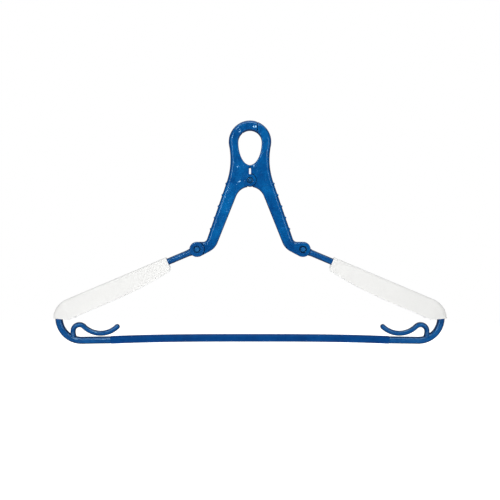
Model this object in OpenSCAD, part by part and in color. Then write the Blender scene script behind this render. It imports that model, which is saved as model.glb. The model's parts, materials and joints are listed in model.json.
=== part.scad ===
// Clip drying hanger: two clothes-peg levers close a ring round a laundry pole, and carry
// a pair of shoulder arms that a bowed bottom bar joins.
// X is to the right, Y runs from front to back, Z is up. The origin is the middle of the pole ring.
// The right-hand pieces are drawn, and the left-hand ones are the same mouldings turned half round Z.

/* [Pole clip] */
// Radius of the ring's bore, for the laundry pole
bore_r = 12.5; // [11:0.5:13]
// Depth of the egg-shaped bore below its centre
bore_drop = 25; // [23:0.5:26]
// Outer radius of the ring
ring_r = 22.7; // [21.5:0.1:24]
// Depth of the levers from front to back
lever_depth = 12; // [10:0.5:16]
// Distance from the middle at which the ring's lapped tips end
lap_reach = 7.8; // [4:0.2:10]

/* [Lever legs] */
// Height of the hub pin below the ring's centre
hub_drop = 41.1; // [40.5:0.1:42]
// Radius of each lever's hub disc
hub_disc_r = 6.5; // [6:0.1:6.8]
// Depth of the waist below the ring's centre
waist_drop = 18.8; // [17:0.2:20]
// Radius of the hollow curve from the waist to the leg
waist_curve_r = 75; // [70:1:80]
// Lean of the leg's outer edge
outer_lean = 19; // [18.5:0.1:19.5]
// Lean of the leg's inner edge
inner_lean = 21.8; // [21.3:0.1:22.3]
// Radius of the round crotch between the legs
crotch_r = 16; // [15.5:0.1:16.4]
// Depth of the crotch's centre below the ring's centre
crotch_drop = 63.6; // [63.4:0.1:64]
// Radius of the inner elbow above the foot
elbow_r = 19; // [14:1:20]
// Slope of the foot's lower edge
foot_slope = 28; // [26:0.5:30]
// Radius of the foot disc and of the arm's eye
foot_r = 8.1; // [7.8:0.1:8.4]
// Number of grip ribs on each leg
rib_count = 5; // [3:1:6]
// Height of each grip rib above the leg's edge
rib_height = 0.8; // [0.5:0.1:1]

/* [Arms] */
// Distance of each leg pin from the middle
pin_x = 56.4; // [56:0.1:57]
// Depth of each leg pin below the ring's centre
pin_drop = 114.7; // [114:0.1:115.4]
// Slope of the arms
arm_slope = 22.9; // [22.6:0.1:23.2]
// Radius of the arm rods
rod_r = 3.5; // [3.2:0.1:3.7]
// Distance of the corner's upright from the middle
shoulder_x = 204; // [202:0.5:208]
// Radius of the rod's bend inside the shoulder
shoulder_bend_r = 14.5; // [14:0.1:15]

/* [Shoulder covers] */
// Height of the cover's ridge above the rod's centre line
ridge_rise = 5.2; // [5.2:0.1:5.6]
// Wall thickness of the covers
cover_wall = 1.4; // [1.2:0.1:1.5]
// Distance from the leg pin to the cover's inner end
cover_start = 34; // [30:1:40]
// Height of the skirt at the inner end
skirt_start = 14.7; // [13:0.1:16]
// Height of the skirt from its middle outwards
skirt_full = 21; // [20:0.1:21.2]
// Lean of the skirt's sides at the inner end
lean_start = 17; // [16:1:20]
// Lean of the skirt's sides at the shoulder
lean_full = 31; // [26:1:34]
// Radius of the shoulder, along the ridge
shoulder_r = 22.5; // [22.5:0.1:23]

/* [Corners and strap hooks] */
// Radius of the corner's tube
corner_r = 3.9; // [3.7:0.1:4]
// Bend radius of the corner, along its centre line
corner_bend_r = 24; // [23:0.5:25]
// Distance from the middle at which the corner enters the bar
corner_end_x = 148.6; // [140:0.1:152]
// Radius of the strap hook's wire
hook_r = 2.75; // [2.5:0.05:2.8]
// Radius of the strap hook's loop, along its centre line
loop_r = 6.8; // [6.6:0.1:7]
// Gap between the strap hook and the run below it
hook_gap = 0.6; // [0.4:0.1:1]

/* [Bar] */
// Outer radius of the bottom bar
bar_r = 4.2; // [4.1:0.1:4.5]
// Wall thickness of the bottom bar
bar_wall = 1.2; // [1:0.1:1.4]
// Depth of the bar's centre line below the ring's centre, at the middle
bar_drop = 209.2; // [208.5:0.1:210]
// Slope of the bar's halves down to the corners
bar_slope = 0.85; // [0.6:0.05:1]

/* [Hidden] */
$fn = 96;
clip_blue = [0.09, 0.36, 0.62];
arm_blue = [0.10, 0.40, 0.66];
bar_blue = [0.03, 0.27, 0.52];
cover_white = [0.94, 0.94, 0.93];

half_depth = lever_depth / 2;
// Half the gap between lapped faces, between the levers' meeting edges, and at the ends of the ring's tips.
lap_gap = 0.1;
seam_gap = 0.1;
tip_gap = 0.25;
// How far behind mid-depth the levers' lapped faces meet.
lap_shift = 0.4;
// Half-length of a cut that goes right through, and a size that reaches past the whole clip.
through = half_depth + 1;
beyond = 150;
// Clearance round a hub disc, and round an eye or a foot disc.
disc_gap = 0.5;
eye_gap = 0.6;
// Farthest that each lever turns, with a little to spare.
lever_swing = 24;

// Hub pin and leg pins: shaft, head and counterbore.
hub_shaft_r = 2.4;
hub_head_r = 2.9;
hub_head_h = 0.5;
hub_boss_r = 1.2;
hub_boss_inset = 0.2;
hub_recess_r = 3.3;
hub_recess = 1.6;
leg_shaft_r = 2.3;
leg_head_r = 2.85;
leg_head_h = 1.1;
leg_recess_r = 4;
leg_recess = 2.2;
running_gap = 0.05;
// Radial play of the right arm's eye on its pin, which lets the four-bar frame close.
open_play = 0.45;

// A moulding's own lengths overlap by weld, and the one inside is thinner by weld_step.
weld = 0.2;
weld_step = 0.03;

// Slot above the hub.
slot_w = 2;
slot_top = 27.4;

// Grip ribs: their own radius, the first one's distance down the leg, and the run from first to last.
rib_r = 1.3;
rib_first = 1.5;
rib_run = 51;
rib_inset = 1;

// Points of an arc about c from angle a to angle b.
function arc(c, r, a, b, n) = [for (i = [0:n]) c + r * dir(a + (b - a) * i / n)];
// Direction of an angle, in the plane of the hanger.
function dir(a) = [cos(a), sin(a)];
// How far the arm's line falls over the distance x.
function arm_fall(x) = x * tan(arm_slope);
// Where the line through p along angle a meets the line through q along angle b.
function meet(p, a, q, b) = p + dir(a) * cross(q - p, dir(b)) / cross(dir(a), dir(b));

// Lever outline, right side. The ring and the hollow waist curve touch at tangent_angle.
tangent_angle = asin(waist_drop / (ring_r + waist_curve_r));
waist_c = [(ring_r + waist_curve_r) * cos(tangent_angle), -waist_drop];
outer_top = waist_c + waist_curve_r * dir(180 + outer_lean);
outer_dir = outer_lean - 90;
crotch_c = [0, -crotch_drop];
crotch_end = crotch_c + crotch_r * dir(inner_lean);
inner_dir = inner_lean - 90;
pin = [pin_x, -pin_drop];
hub = [0, -hub_drop];
// The foot's lower edge touches the foot disc at foot_touch.
foot_touch = pin + foot_r * dir(270 - foot_slope);
elbow_corner = meet(crotch_end, inner_dir, foot_touch, -foot_slope);
elbow_turn = 90 - inner_lean - foot_slope;
elbow_start = elbow_corner - elbow_r * tan(elbow_turn / 2) * dir(inner_dir);
elbow_c = elbow_start + elbow_r * dir(inner_lean);
// The fillet above the foot joins the outer edge to a level line at the disc's top.
fillet_r = 4.5;
foot_top = [pin[0], pin[1] + foot_r];
fillet_corner = meet(outer_top, outer_dir, foot_top, 0);
fillet_length = fillet_r * tan((90 - outer_lean) / 2);
fillet_c = [fillet_corner[0] + fillet_length, foot_top[1] + fillet_r];

// The outline reaches past the middle at the ring's top, for the lapped tip, and as far down as ring_overlap.
tip_x = -lap_reach - 2;
ring_overlap = 1;
tip_start = 180 - acos(-tip_x / ring_r);

function lever_outline() = concat(
    arc([0, 0], ring_r, tip_start, -tangent_angle, 48),
    arc(waist_c, waist_curve_r, 180 - tangent_angle, 180 + outer_lean, 12),
    arc(fillet_c, fillet_r, 180 + outer_lean, 270, 8),
    arc(pin, foot_r, 90, -90 - foot_slope, 40),
    arc(elbow_c, elbow_r, 270 - foot_slope, 180 + inner_lean, 10),
    arc(crotch_c, crotch_r, inner_lean, 90, 24),
    [[0, -ring_overlap], [tip_x, -ring_overlap]]);

// Arm geometry, right side: along runs down the arm, drop is square to it.
along = dir(-arm_slope);
drop = dir(-90 - arm_slope);
bend_x = shoulder_x - shoulder_bend_r;
bend_c = [bend_x, pin[1] - arm_fall(bend_x - pin_x) - shoulder_bend_r / cos(arm_slope)];
bend_start = bend_c - shoulder_bend_r * drop;
rod_length = norm(bend_start - pin);
spigot_r = 2.3;
spigot_length = 6;
// Collars inside the cover, at these distances past its inner end.
collar_r = 3.85;
collar_w = 3;
collar_near = 6;
collar_far = 100;

// Corner geometry, right side.
corner_turn = 90 + bar_slope;
corner_c = [shoulder_x - corner_bend_r,
            -bar_drop - tan(bar_slope) * (shoulder_x - corner_bend_r) + corner_bend_r / cos(bar_slope)];
corner_low = corner_c + corner_bend_r * dir(-corner_turn);
corner_end = [corner_end_x, -bar_drop - tan(bar_slope) * corner_end_x];
run_length = norm(corner_low - corner_end);
bore_of_bar = bar_r - bar_wall;
// Turn that the notch at the middle gives each half of the bar.
notch_turn = 20;
plug_length = 12;

// Strap hook: a loop about loop_c and a wide valley about valley_c, which touch each other.
valley_x = shoulder_x - 44.4;
loop_rise = 2.4;
run_top = -bar_drop - tan(bar_slope) * valley_x + corner_r / cos(bar_slope);
valley_bottom = run_top + hook_gap + hook_r;
loop_c = [shoulder_x - 21.8, valley_bottom + loop_rise];
loop_span = loop_c[0] - valley_x;
valley_r = (pow(loop_span, 2) + pow(loop_rise, 2) - pow(loop_r, 2)) / (2 * (loop_r + loop_rise));
valley_c = [valley_x, valley_bottom + valley_r];
hook_touch_angle = atan2(valley_c[1] - loop_c[1], valley_c[0] - loop_c[0]);
tip_angle = 226;
root_length = 6.5;

// Shoulder cover: its ridge runs straight, then round shoulder_c to its mouth. It ends shoulder_reach past
// the corner's upright.
ridge_start = pin + cover_start * along - ridge_rise * drop;
shoulder_reach = 6;
cover_bend_x = shoulder_x + shoulder_reach - shoulder_r;
cover_bend_fall = arm_fall(cover_bend_x - ridge_start[0]) + shoulder_r / cos(arm_slope);
shoulder_c = [cover_bend_x, ridge_start[1] - cover_bend_fall];
ridge_length = norm(shoulder_c - shoulder_r * drop - ridge_start);
mouth_z = -188;
mouth_angle = asin((mouth_z - shoulder_c[1]) / shoulder_r);
// Radius of the section's rounded top at the inner end, where the shoulder starts, and at the mouth.
ridge_r_start = 5.2;
ridge_r_full = 6.5;
ridge_r_end = 10;
lean_end = 25;
// The skirt swells to its full height over skirt_swell, and its inner lower corner is rounded.
skirt_swell = 72;
hem_round = 4;
straight_rings = 18;
arc_rings = 12;
ridge_steps = 8;

// Extrudes a shape drawn in X and Z from y = a to y = b.
module slab(a, b) translate([0, b, 0]) rotate([90, 0, 0]) linear_extrude(b - a) children();
// A shaft of radius r about the point p from y = a to y = b.
module shaft(p, r, a, b) translate([p[0], b, p[1]]) rotate([90, 0, 0]) cylinder(r = r, h = b - a);
// A rod of radius r from point p, as long as l, along angle a.
module rod(p, a, l, r) translate([p[0], 0, p[1]]) rotate([0, 90 - a, 0]) cylinder(r = r, h = l);
// A bent rod of radius r about the point c, from angle a over the turn t.
module bend(c, bend_r, r, a, t)
    translate([c[0], 0, c[1]]) rotate([90, 0, 0]) rotate([0, 0, a])
        rotate_extrude(angle = t) translate([bend_r, 0]) circle(r);
// Turns a right-hand piece into the left-hand one.
module left_hand() rotate([0, 0, 180]) children();

// Everything right of the lever's own edge: the middle, and above it the ring, as far as reach.
module right_part(reach) {
    translate([seam_gap, -beyond]) square(beyond);
    translate([reach, -ring_overlap]) square(beyond);
}

// Room below the hub for the other leg, when the legs close.
module closing_room() {
    r = hub_disc_r + 1.5;
    polygon([hub, hub + r * dir(-92), hub + r * dir(lever_swing / 2 - 90), hub + r * dir(lever_swing - 90)]);
}

// One layer of the right lever: its outline, cut off at the middle and at the ring's lap.
module lever_layer(reach) {
    difference() {
        intersection() {
            polygon(lever_outline());
            right_part(reach);
        }
        closing_room();
    }
}

// Egg-shaped bore: a true circle above, a half ellipse below.
module pole_bore() {
    shaft([0, 0], bore_r, -through, through);
    slab(-through, through) polygon([for (a = [180:7.5:360]) [bore_r * cos(a), bore_drop * sin(a)]]);
}

module slot() {
    round_z = -slot_top - slot_w / 2;
    shaft([0, round_z], slot_w / 2, -through, through);
    translate([-slot_w / 2, -through, -hub_drop]) cube([slot_w, 2 * through, round_z + hub_drop]);
}

// Grip ribs down the leg's outer edge.
module grip_ribs() {
    for (i = [0:rib_count - 1]) {
        down = rib_first + i * rib_run / (rib_count - 1);
        p = outer_top + down * dir(outer_dir) + (rib_height - rib_r) * dir(outer_lean);
        shaft(p, rib_r, rib_inset - half_depth, half_depth - rib_inset);
    }
}

// The right lever: its ring tip and hub disc are behind the lapped faces at lap_y, its foot disc in front.
module lever(foot_hole_r, lap_y) {
    difference() {
        union() {
            slab(-half_depth, lap_y) lever_layer(lap_reach + tip_gap);
            slab(lap_y, half_depth) lever_layer(-lap_reach + tip_gap);
            shaft(hub, hub_disc_r, lap_y, half_depth);
            grip_ribs();
        }
        pole_bore();
        difference() {
            slot();
            shaft(hub, hub_disc_r, lap_y, half_depth);
        }
        shaft(hub, hub_disc_r + disc_gap, -through, lap_y);
        shaft(hub, hub_shaft_r + running_gap, -through, through);
        shaft(hub, hub_recess_r, half_depth - hub_recess, through);
        shaft(pin, foot_r + eye_gap, -lap_gap, through);
        shaft(pin, foot_hole_r, -through, 0);
        shaft(pin, leg_recess_r, -through, leg_recess - half_depth);
    }
}

// A pin about the point p, with a head sunk in a recess at each end.
module headed_pin(p, shaft_r, head_r, recess, head_h) {
    floor_y = half_depth - recess + running_gap;
    shaft(p, shaft_r, -floor_y, floor_y);
    shaft(p, head_r, floor_y, floor_y + head_h);
    shaft(p, head_r, -floor_y - head_h, -floor_y);
}

// The arm's eye, rod and shoulder bend, which ends in a spigot.
module arm_rod(eye_hole_r) {
    difference() {
        union() {
            shaft(pin, foot_r, lap_gap, half_depth);
            difference() {
                rod(pin, -arm_slope, rod_length + weld, rod_r - weld_step);
                shaft(pin, foot_r + eye_gap, -half_depth, lap_gap);
            }
        }
        shaft(pin, eye_hole_r, 0, through);
        shaft(pin, leg_recess_r, half_depth - leg_recess, through);
    }
    bend(bend_c, shoulder_bend_r, rod_r, 0, 90 - arm_slope);
    for (d = [collar_near, collar_far])
        rod(pin + (cover_start + d) * along, -arm_slope, collar_w, collar_r);
    rod([shoulder_x, bend_c[1] + weld], -90, spigot_length + weld, spigot_r);
}

// Corner of the frame with its strap hook.
module corner() {
    difference() {
        union() {
            rod([shoulder_x, bend_c[1]], -90, bend_c[1] - corner_c[1] + weld, corner_r - weld_step);
            bend(corner_c, corner_bend_r, corner_r, -corner_turn, corner_turn);
        }
        rod([shoulder_x, bend_c[1] + 1], -90, spigot_length + 1, spigot_r);
    }
    rod(corner_end, -bar_slope, run_length + weld, corner_r - weld_step);
    rod(corner_end - plug_length * dir(-bar_slope), -bar_slope, plug_length + weld, bore_of_bar);
    strap_hook();
}

// A half ball of radius r at the point p, facing along angle a, with a short neck behind it.
module dome(p, a, r)
    translate([p[0], 0, p[1]]) rotate([0, 90 - a, 0]) rotate_extrude() {
        intersection() {
            circle(r);
            square(r);
        }
        translate([0, -weld]) square([r, weld]);
    }

module strap_hook() {
    weld_turn = weld / valley_r * 180 / PI;
    rod(loop_c + [loop_r, weld], -90, root_length, hook_r - weld_step);
    bend(loop_c, loop_r, hook_r, 0, hook_touch_angle);
    bend(valley_c, valley_r, hook_r - weld_step, tip_angle, hook_touch_angle + 180 - tip_angle + weld_turn);
    dome(valley_c + valley_r * dir(tip_angle), tip_angle - 90, hook_r - 2 * weld_step);
}

// One half of the bar, with a notch over the middle that lets the bar bow downwards.
module bar_half() {
    middle = [0, -bar_drop];
    length = norm(corner_end - middle);
    notch = 2 * bar_r;
    difference() {
        rod(middle, -bar_slope, length, bar_r);
        rod(middle - dir(-bar_slope), -bar_slope, length + 2, bore_of_bar);
        translate([lap_gap / 2 - notch, -notch, -bar_drop - notch]) cube([notch, 2 * notch, 2 * notch]);
        slab(-notch, notch)
            polygon([middle, middle + [-1, notch], middle + [notch * tan(notch_turn), notch]]);
    }
}

// Skirt height at the distance u along the ridge, with its inner lower corner rounded.
function skirt(u) =
    skirt_start + (skirt_full - skirt_start) * (1 - pow(max(0, 1 - u / skirt_swell), 2))
    - (u < hem_round ? hem_round - sqrt(pow(hem_round, 2) - pow(hem_round - u, 2)) : 0);
// How far the section has opened from the inner end's to the shoulder's, at the distance u along the ridge.
function spread(u) = sin(90 * min(1, u / ridge_length));
// Section of the cover from the ridge down, as [sideways, depth]: an arc, then a leaning side.
function half_section(r, r_full, lean, h) = concat(
    [for (p = arc([0, 0], r, 90, lean, ridge_steps)) [p[0], r_full - p[1]]],
    [let (d = h - (r_full - r * sin(lean))) [r * cos(lean) + d * tan(lean), h]]);
function mirrored(s) = [for (i = [len(s) - 1:-1:1]) [-s[i][0], s[i][1]]];
function reversed(s) = [for (i = [len(s) - 1:-1:0]) s[i]];
// The section at the distance u along the ridge. Round the shoulder, t of the way down, it grows blunter.
function cover_section(u, t) = let (
    f = spread(u),
    r = ridge_r_start + (ridge_r_full - ridge_r_start) * f + (ridge_r_end - ridge_r_full) * t,
    lean = lean_start + (lean_full - lean_start) * f + (lean_end - lean_full) * t,
    outer = half_section(r, r, lean, skirt(u)),
    inner = half_section(r - cover_wall, r, lean, skirt(u)))
    concat(mirrored(outer), outer, reversed(concat(mirrored(inner), inner)));
// A ring of the cover in space, from the ridge point p with the inward direction d.
function cover_ring(p, d, u, t) =
    [for (s = cover_section(u, t)) let (q = p + s[1] * d) [q[0], s[0], q[1]]];
function cover_rings() = concat(
    [for (i = [0:straight_rings]) let (u = ridge_length * pow(i / straight_rings, 1.5))
        cover_ring(ridge_start + u * along, drop, u, 0)],
    [for (i = [1:arc_rings]) let (a = 90 - arm_slope - (90 - arm_slope - mouth_angle) * i / arc_rings)
        cover_ring(shoulder_c + shoulder_r * dir(a), -dir(a), ridge_length, i / arc_rings)]);

// Two triangles for the four corners of a face.
function quad(a, b, c, d) = [[a, b, c], [a, c, d]];
// Closes a row of rings into a solid. Each ring's second half is its inner side, in reverse.
module skin(rings) {
    n = len(rings[0]);
    last = len(rings) - 1;
    polyhedron(
        points = [for (ring = rings) each ring],
        faces = concat(
            [for (j = [0:n / 2 - 2]) each quad(j, j + 1, n - 2 - j, n - 1 - j)],
            [for (i = [0:last - 1], j = [0:n - 1]) let (k = (j + 1) % n)
                each quad(i * n + j, (i + 1) * n + j, (i + 1) * n + k, i * n + k)],
            [for (j = [0:n / 2 - 2]) let (a = last * n + j, b = last * n + n - 1 - j)
                each quad(b, b - 1, a + 1, a)]),
        convexity = 6);
}

module shoulder_cover() skin(cover_rings());

module hub_pin() {
    color(clip_blue) {
        headed_pin(hub, hub_shaft_r, hub_head_r, hub_recess, hub_head_h);
        shaft(hub, hub_boss_r, half_depth - hub_recess, half_depth - hub_boss_inset);
        shaft(hub, hub_boss_r, hub_boss_inset - half_depth, hub_recess - half_depth);
    }
}
module leg_pin() headed_pin(pin, leg_shaft_r, leg_head_r, leg_recess, leg_head_h);
module right_lever() color(clip_blue) lever(leg_shaft_r, lap_shift + lap_gap);
module left_lever() color(clip_blue) left_hand() lever(leg_shaft_r + running_gap, lap_gap - lap_shift);
module right_leg_pin() color(arm_blue) leg_pin();
module left_leg_pin() color(arm_blue) left_hand() leg_pin();
module right_arm_rod() color(arm_blue) arm_rod(leg_shaft_r + open_play);
module left_arm_rod() color(arm_blue) left_hand() arm_rod(leg_shaft_r);
module right_shoulder_cover() color(cover_white) shoulder_cover();
module left_shoulder_cover() color(cover_white) left_hand() shoulder_cover();
module right_corner() color(arm_blue) corner();
module left_corner() color(arm_blue) left_hand() corner();
module bar_right_half() color(bar_blue) bar_half();
module bar_left_half() color(bar_blue) left_hand() bar_half();

hub_pin();
left_lever();
right_lever();
left_leg_pin();
right_leg_pin();
left_arm_rod();
right_arm_rod();
left_shoulder_cover();
right_shoulder_cover();
left_corner();
right_corner();
bar_left_half();
bar_right_half();
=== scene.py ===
"""Clip drying hanger: the visual model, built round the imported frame. Lengths are in metres."""
import json
import math

import bmesh
import bpy
from mathutils import Matrix, Vector
from mathutils.geometry import tessellate_polygon


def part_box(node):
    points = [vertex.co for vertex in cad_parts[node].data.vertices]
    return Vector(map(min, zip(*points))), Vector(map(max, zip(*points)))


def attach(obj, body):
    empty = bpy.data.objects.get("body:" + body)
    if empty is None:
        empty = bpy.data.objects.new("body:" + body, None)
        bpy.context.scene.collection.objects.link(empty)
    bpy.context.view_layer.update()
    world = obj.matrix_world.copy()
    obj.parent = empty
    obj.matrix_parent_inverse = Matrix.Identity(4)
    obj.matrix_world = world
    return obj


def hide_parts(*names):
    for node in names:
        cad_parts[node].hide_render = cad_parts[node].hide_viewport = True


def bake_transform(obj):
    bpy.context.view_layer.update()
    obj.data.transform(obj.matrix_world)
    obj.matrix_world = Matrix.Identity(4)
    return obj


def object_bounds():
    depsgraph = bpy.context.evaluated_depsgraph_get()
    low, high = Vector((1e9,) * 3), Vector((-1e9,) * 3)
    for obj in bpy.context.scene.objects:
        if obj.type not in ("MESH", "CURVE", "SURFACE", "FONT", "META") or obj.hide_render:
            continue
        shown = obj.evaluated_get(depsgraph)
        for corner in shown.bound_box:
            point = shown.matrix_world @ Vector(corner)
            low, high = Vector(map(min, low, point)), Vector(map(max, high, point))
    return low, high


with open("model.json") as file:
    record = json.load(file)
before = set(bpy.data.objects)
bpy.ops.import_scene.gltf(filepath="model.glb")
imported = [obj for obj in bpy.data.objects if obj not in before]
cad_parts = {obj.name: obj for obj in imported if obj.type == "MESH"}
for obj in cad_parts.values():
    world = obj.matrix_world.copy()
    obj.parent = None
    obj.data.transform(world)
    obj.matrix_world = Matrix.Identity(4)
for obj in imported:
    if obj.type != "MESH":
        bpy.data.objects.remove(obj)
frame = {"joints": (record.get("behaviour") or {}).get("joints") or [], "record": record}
cad_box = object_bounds()

MM = 0.001
joints = {j["name"]: j for j in frame["joints"]}
mounts = {m["name"]: m for m in frame["record"]["mounts"]}


# ---------------------------------------------------------------- design values

def flat(p):
    """The X and Z of a point, which is how places in the hanger's plane are written here."""
    return Vector((p[0], p[2]))


HUB = flat(joints["clip_squeeze"]["pos_m"])
LEFT_PIN = flat(joints["left_arm_turn"]["pos_m"])
RIGHT_PIN = Vector((-LEFT_PIN.x, LEFT_PIN.y))
BAR_MIDDLE = flat(joints["bar_bow"]["pos_m"])
BORE_R = mounts["pole_clip"]["dims"]["r_mm"] * MM
RING_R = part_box("right_lever")[1].z
HALF_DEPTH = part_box("right_lever")[1].y
SHOULDER_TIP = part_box("right_shoulder_cover")[1].x

# Clip levers. The leans and slopes are in degrees.
BORE_DROP = 25.0 * MM
WAIST_DROP = 18.8 * MM
WAIST_CURVE_R = 75.0 * MM
OUTER_LEAN = 19.0
INNER_LEAN = 21.8
CROTCH_R = 16.0 * MM
CROTCH_DROP = 63.6 * MM
ELBOW_R = 19.0 * MM
FOOT_SLOPE = 28.0
FOOT_R = 8.1 * MM
FILLET_R = 4.5 * MM
LAP_REACH = 7.8 * MM
LAP_GAP = 0.1 * MM
LAP_SHIFT = 0.4 * MM
SEAM_GAP = 0.1 * MM
TIP_GAP = 0.25 * MM
HUB_DISC_R = 6.5 * MM
DISC_GAP = 0.5 * MM
EYE_GAP = 0.3 * MM
LEVER_SWING = 24
LEVER_STOP = -92
CLOSING_DEPTH = 1.5 * MM
SLOT_HALF = 1.0 * MM
SLOT_TOP = 27.4 * MM
RIB_COUNT = 5
RIB_R = 1.3 * MM
RIB_HEIGHT = 0.8 * MM
RIB_PITCH = 12.75 * MM
RIB_INSET = 1.2 * MM
FIRST_RIB = 1.5 * MM
OUTER_ROUND = 4.0 * MM
INNER_ROUND = 1.3 * MM

# Pins.
HUB_SHAFT_R = 2.4 * MM
HUB_HEAD_R = 2.9 * MM
HUB_RECESS_R = 3.3 * MM
HUB_RECESS = 1.6 * MM
HUB_HEAD_H = 0.5 * MM
HUB_NIB_R = 1.2 * MM
LEG_SHAFT_R = 2.3 * MM
LEG_HEAD_R = 2.85 * MM
LEG_RECESS_R = 4.0 * MM
LEG_RECESS = 2.2 * MM
LEG_HEAD_H = 1.1 * MM
LEG_DIMPLE_R = 0.5 * MM
PIN_PLAY = 0.05 * MM
OPEN_PIVOT_PLAY = 0.45 * MM

# Arms.
ARM_SLOPE = 22.9
ROD_R = 3.5 * MM
ROD_FLARE = 0.9 * MM
ROD_FLARE_LENGTH = 1.5 * MM
ROD_START = 3 * MM
SHOULDER_X = 204.0 * MM
SHOULDER_BEND_R = 14.5 * MM
SPIGOT_R = 2.3 * MM
SPIGOT_LENGTH = 6 * MM
COLLAR_R = 3.8 * MM
COLLAR_W = 3.0 * MM
COLLAR_PLACES = (6 * MM, 100 * MM)

# Shoulder covers.
RIDGE_RISE = 5.2 * MM
COVER_WALL = 1.4 * MM
COVER_START = 34.0 * MM
SKIRT_START = 14.7 * MM
SKIRT_FULL = 21.0 * MM
SKIRT_SWELL = 72.0 * MM
HEM_ROUND = 4.0 * MM
LEAN = (17.0, 31.0, 25.0)
RIDGE_R = (5.2 * MM, 6.5 * MM, 10.0 * MM)
SHOULDER_R = 22.5 * MM
COVER_MOUTH_Z = -188.0 * MM

# Corners, strap hooks and bar.
CORNER_R = 3.9 * MM
CORNER_BEND_R = 24.0 * MM
CORNER_END_X = 148.6 * MM
HOOK_R = 2.75 * MM
HOOK_FLARE = 1.5 * MM
HOOK_FLARE_H = 5.5 * MM
HOOK_STEM_H = 6.2 * MM
HOOK_GAP = 0.6 * MM
HOOK_TIP_ANGLE = 226
LOOP_R = 6.8 * MM
LOOP_INSET = 21.8 * MM
LOOP_RISE = 2.4 * MM
VALLEY_INSET = 44.4 * MM
BAR_R = 4.2 * MM
BAR_BORE_R = 3.0 * MM
BAR_LIP = 0.4 * MM
BAR_SLOPE = 0.85
PLUG_LENGTH = 12.0 * MM

# Mesh work. Edges that turn more than SHARP_ANGLE are sharp, and less than FLAT_ANGLE flat. Cutting tools
# reach TOOL_REACH past the faces that they cut, and joined pieces run HIDDEN_JOIN into each other.
SHARP_ANGLE = math.radians(38)
FLAT_ANGLE = math.radians(0.2)
MERGE_DISTANCE = 0.004 * MM
EDGE_SOFTNESS = 0.22 * MM
TOOL_REACH = 2 * MM
HIDDEN_JOIN = 2 * MM

# Floor. It fades out from FLOOR_FADE_START of its radius, and its glow grows to full over FLOOR_GLOW_SPAN.
FLOOR_DROP = 0.10
FLOOR_R = 1.6
FLOOR_GLOW = 0.44
FLOOR_FADE_START = 0.55
FLOOR_GLOW_SPAN = (0.2, 0.6)

# Picture: the hanger's share of its width, and how far below the middle it is seen from, by its height.
WIDTH_SHARE = 0.786
EYE_DROP = 0.079


# ---------------------------------------------------------------- plane geometry

def toward(angle):
    """Unit vector along an angle in degrees, in the plane of the hanger."""
    return Vector((math.cos(math.radians(angle)), math.sin(math.radians(angle))))


def arc(c, r, a, b, n):
    return [c + r * toward(a + (b - a) * i / n) for i in range(n + 1)]


def cross(a, b):
    return a.x * b.y - a.y * b.x


def meet(p, a, q, b):
    """Where the line through p along angle a meets the line through q along angle b."""
    return p + toward(a) * (cross(q - p, toward(b)) / cross(toward(a), toward(b)))


def mirrored(points):
    """The points on the other side of the middle, in reverse order."""
    return [Vector((-p.x, p.y)) for p in reversed(points)]


def blend_steps(a, b, n):
    """n values from a to b, both ends included."""
    return [a + (b - a) * i / (n - 1) for i in range(n)]


# ---------------------------------------------------------------- mesh making

def new_object(name, verts, faces):
    mesh = bpy.data.meshes.new(name)
    mesh.from_pydata([tuple(v) for v in verts], [], faces)
    mesh.validate()
    mesh.update()
    obj = bpy.data.objects.new(name, mesh)
    bpy.context.scene.collection.objects.link(obj)
    return obj


def outward(obj):
    bm = bmesh.new()
    bm.from_mesh(obj.data)
    bmesh.ops.recalc_face_normals(bm, faces=bm.faces)
    bm.to_mesh(obj.data)
    bm.free()
    return obj


def ring_faces(rows, n, closed_rows=False):
    """Faces between successive rings of n points."""
    faces = []
    for i in range(rows if closed_rows else rows - 1):
        a, b = i * n, ((i + 1) % rows) * n
        for j in range(n):
            k = (j + 1) % n
            faces.append((a + j, a + k, b + k, b + j))
    return faces


def tube(name, path, radii, sides=48, round_start=False, round_end=False):
    """A round bar along a path in the hanger's plane, with flat or round ends."""
    radii = list(radii) if isinstance(radii, (list, tuple)) else [radii] * len(path)
    tangents = []
    for i in range(len(path)):
        d = path[min(i + 1, len(path) - 1)] - path[max(i - 1, 0)]
        tangents.append(d.normalized())
    stations = list(zip(path, tangents, radii))
    cap_steps = 8

    def cap(p, t, r, sign):
        out = []
        for s in range(1, cap_steps):
            a = math.radians(90 * s / cap_steps)
            out.append((p + t * (sign * r * math.sin(a)), t, r * math.cos(a)))
        return out

    if round_start:
        stations = list(reversed(cap(path[0], tangents[0], radii[0], -1))) + stations
    if round_end:
        stations = stations + cap(path[-1], tangents[-1], radii[-1], 1)
    verts = []
    for p, t, r in stations:
        across = Vector((-t.y, t.x))
        for j in range(sides):
            a = 2 * math.pi * j / sides
            q = p + across * (r * math.cos(a))
            verts.append((q.x, r * math.sin(a), q.y))
    faces = ring_faces(len(stations), sides)
    start, end = len(verts), len(verts) + 1
    tip_a = path[0] - tangents[0] * (radii[0] if round_start else 0)
    tip_b = path[-1] + tangents[-1] * (radii[-1] if round_end else 0)
    verts += [(tip_a.x, 0, tip_a.y), (tip_b.x, 0, tip_b.y)]
    last = (len(stations) - 1) * sides
    for j in range(sides):
        k = (j + 1) % sides
        faces.append((start, k, j))
        faces.append((end, last + j, last + k))
    return outward(new_object(name, verts, faces))


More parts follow.
